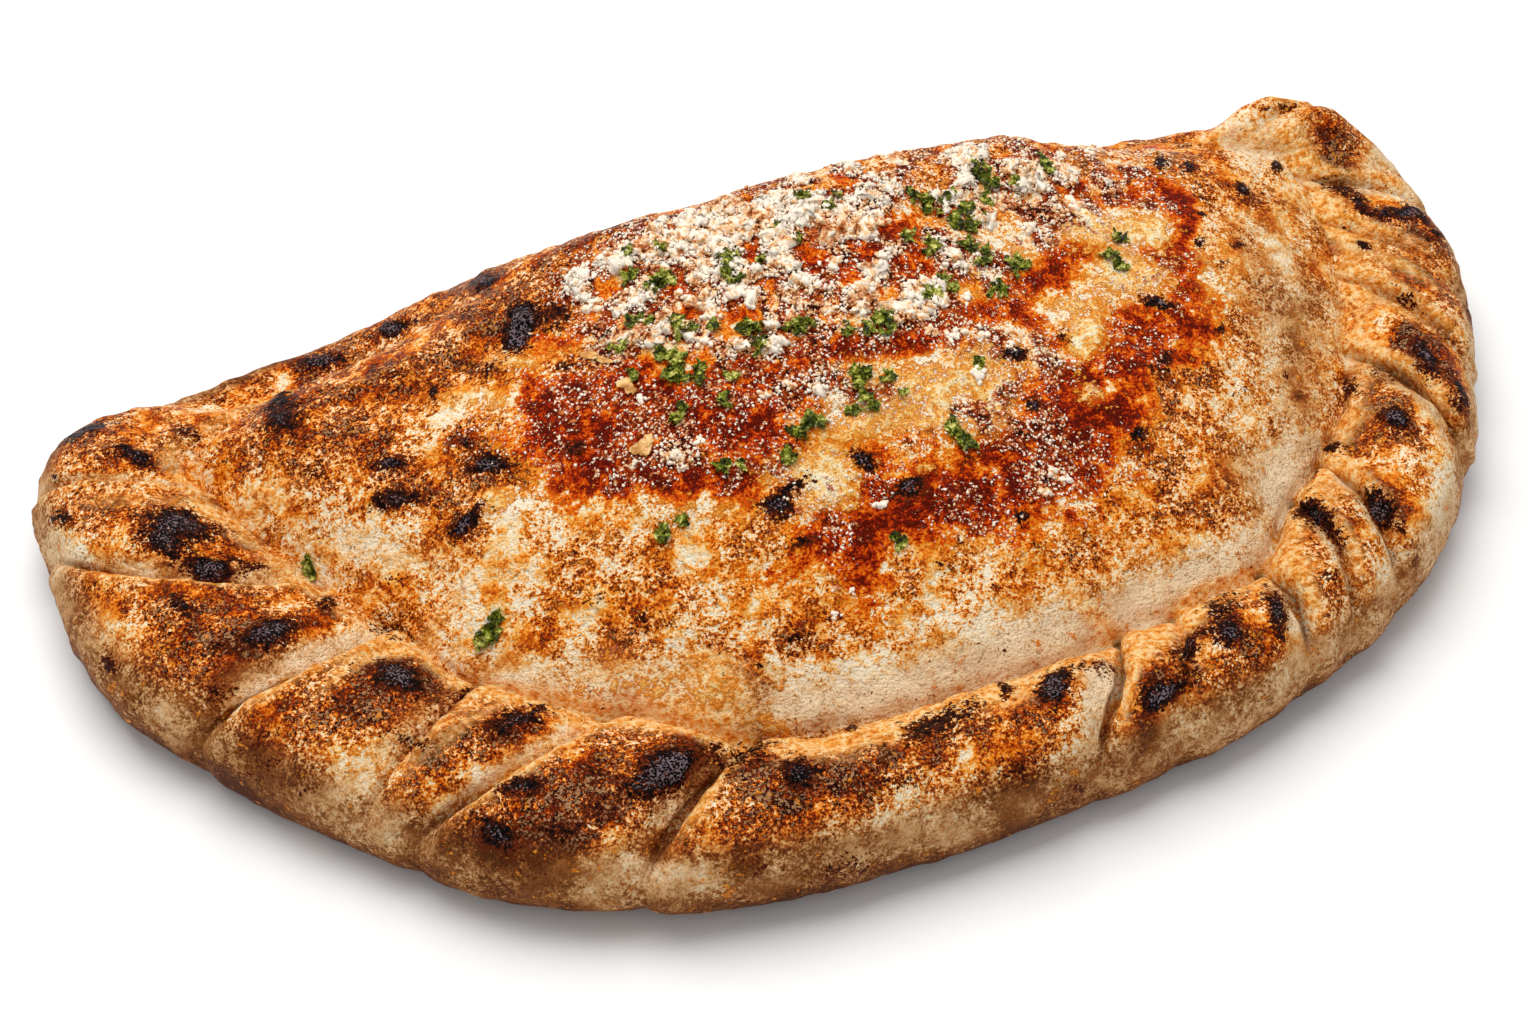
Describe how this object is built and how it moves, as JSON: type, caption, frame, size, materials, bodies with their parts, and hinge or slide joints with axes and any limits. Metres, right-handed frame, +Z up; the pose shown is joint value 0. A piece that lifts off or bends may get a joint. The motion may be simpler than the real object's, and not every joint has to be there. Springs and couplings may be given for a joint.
{
  "type": "calzone",
  "caption": "Baked half-moon calzone: a domed pocket of dough with a twisted, crimped rim, flat underneath, topped with crumbs of grated cheese and flakes of parsley.",
  "frame": {"origin": "centre of the flat underside's bounding box, in the plane the calzone rests on", "axes": "+X along the fold, from the long slanting folds of the rim to the horned tip; +Y from the crimped rim to the plain fold at the back; +Z up"},
  "size_m": [0.3032, 0.1686, 0.0558],
  "materials": {
    "dough": "baked crust, matte"
  },
  "bodies": {
    "root": {"calzone": "dough"}
  },
  "joints": []
}
